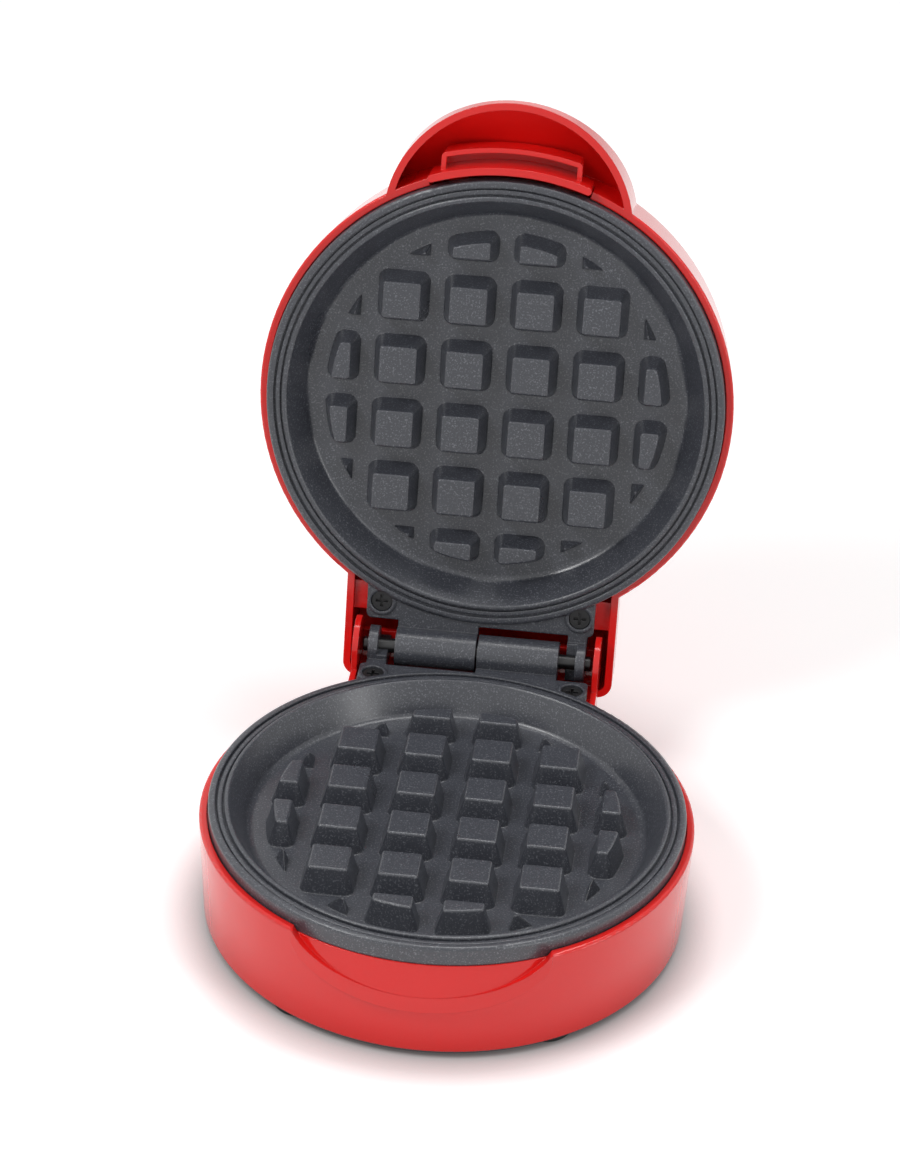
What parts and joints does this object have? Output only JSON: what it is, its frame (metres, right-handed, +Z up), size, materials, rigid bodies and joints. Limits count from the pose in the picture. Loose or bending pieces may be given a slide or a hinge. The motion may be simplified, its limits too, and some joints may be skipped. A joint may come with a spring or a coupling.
{
  "type": "mini waffle maker",
  "caption": "Mini waffle maker: drum-shaped base and domed lid on a rear pin hinge, each holding a studded casting, shown open.",
  "frame": {"origin": "on the table under the axis of the round base, level with the undersides of the feet", "axes": "+Z up, -Y towards the handle side, +Y towards the hinge, +X to the right seen from the handle side"},
  "size_m": [0.127, 0.1941, 0.1799],
  "materials": {
    "red_plastic": "glossy injection-moulded heat-resistant plastic, red",
    "black_plastic": "satin moulded plastic",
    "black_rubber": "soft black rubber",
    "nonstick_casting": "cast aluminium with a dark blue-grey non-stick coating, light speckle",
    "steel_pin": "ground steel pin",
    "black_screw": "black oxide screw",
    "plated_steel": "zinc-plated steel",
    "heater_sheath": "oxidised steel heater sheath",
    "ceramic": "white ceramic end seal",
    "bright_sheet": "bright pressed sheet steel",
    "thermostat_case": "dark phenolic thermostat body",
    "fuse_case": "metal-cased thermal fuse",
    "block_plastic": "off-white terminal block",
    "lead_sleeve": "woven glass sleeve on the internal leads",
    "red_lens": "translucent red lens",
    "lamp_glass": "small neon lamp"
  },
  "bodies": {
    "base": {"base_shell": "red_plastic", "bottom_cover": "black_plastic", "rubber_feet": "black_rubber", "lower_plate": "nonstick_casting", "hinge_pin": "steel_pin", "lower_plate_screws": "black_screw", "bottom_cover_screws": "black_screw", "lower_shield_screw": "plated_steel", "strap_screws": "plated_steel", "lower_heating_element": "heater_sheath", "lower_element_pins": "plated_steel", "lower_element_seals": "ceramic", "lower_heat_shield": "bright_sheet", "thermostat": "thermostat_case", "thermostat_strap": "plated_steel", "thermal_fuse": "fuse_case", "fuse_strap": "plated_steel", "terminal_block": "block_plastic", "outlet_bush": "black_rubber", "lower_leads": "lead_sleeve"},
    "lid": {"upper_plate": "nonstick_casting", "lid_shell": "red_plastic", "handle_guard": "red_plastic", "upper_plate_screws": "black_screw", "upper_heating_element": "heater_sheath", "upper_element_seals": "ceramic", "upper_element_pins": "plated_steel", "upper_heat_shield": "bright_sheet", "upper_shield_screw": "plated_steel", "indicator_lens": "red_lens", "indicator_lamp": "lamp_glass", "lamp_holder": "black_plastic", "lamp_holder_screws": "plated_steel", "upper_leads": "lead_sleeve"}
  },
  "joints": [
    {"name": "lid_hinge", "type": "hinge", "parent": "base", "child": "lid", "pos_m": [0, 0.06965, 0.0337], "axis": [1, 0, 0], "range_deg": [0, 102.9]}
  ]
}
